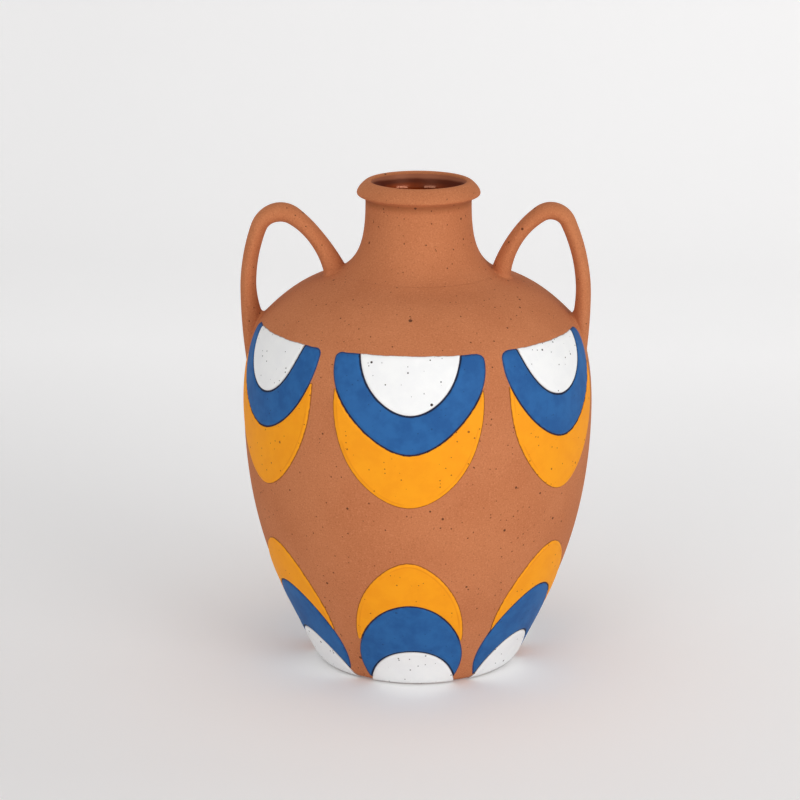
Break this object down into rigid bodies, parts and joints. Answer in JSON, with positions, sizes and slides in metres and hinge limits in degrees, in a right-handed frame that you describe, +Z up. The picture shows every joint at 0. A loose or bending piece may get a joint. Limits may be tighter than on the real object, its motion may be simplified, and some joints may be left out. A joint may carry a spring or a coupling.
{
  "type": "two-handled jar",
  "caption": "Tall-shouldered clay jar with a short flared neck, rolled lip, strap handles at the sides and raised scallop glaze fields, for holding water, stems or display.",
  "frame": {"origin": "middle of the base, on the surface that the jar stands on", "axes": "+Z up along the jar's axis, -Y to the front, the handles along X"},
  "size_m": [0.2152, 0.2148, 0.3],
  "materials": {
    "terracotta": "matt unglazed, sandy, with dark specks",
    "white_glaze": "matt glaze with dark specks",
    "blue_glaze": "matt glaze with brush mottling",
    "orange_glaze": "matt glaze with dark specks",
    "brown_glaze": "glossy"
  },
  "bodies": {
    "root": {"belly": "terracotta", "shoulder": "terracotta", "neck": "terracotta", "lip": "terracotta", "handle_left": "terracotta", "handle_right": "terracotta", "glaze_lining": "brown_glaze", "upper_white_front": "white_glaze", "upper_white_front_right": "white_glaze", "upper_white_back_right": "white_glaze", "upper_white_back": "white_glaze", "upper_white_back_left": "white_glaze", "upper_white_front_left": "white_glaze", "upper_blue_front": "blue_glaze", "upper_blue_front_right": "blue_glaze", "upper_blue_back_right": "blue_glaze", "upper_blue_back": "blue_glaze", "upper_blue_back_left": "blue_glaze", "upper_blue_front_left": "blue_glaze", "upper_orange_front": "orange_glaze", "upper_orange_front_right": "orange_glaze", "upper_orange_back_right": "orange_glaze", "upper_orange_back": "orange_glaze", "upper_orange_back_left": "orange_glaze", "upper_orange_front_left": "orange_glaze", "lower_white_front": "white_glaze", "lower_white_front_right": "white_glaze", "lower_white_back_right": "white_glaze", "lower_white_back": "white_glaze", "lower_white_back_left": "white_glaze", "lower_white_front_left": "white_glaze", "lower_blue_front": "blue_glaze", "lower_blue_front_right": "blue_glaze", "lower_blue_back_right": "blue_glaze", "lower_blue_back": "blue_glaze", "lower_blue_back_left": "blue_glaze", "lower_blue_front_left": "blue_glaze", "lower_orange_front": "orange_glaze", "lower_orange_front_right": "orange_glaze", "lower_orange_back_right": "orange_glaze", "lower_orange_back": "orange_glaze", "lower_orange_back_left": "orange_glaze", "lower_orange_front_left": "orange_glaze"}
  },
  "joints": []
}
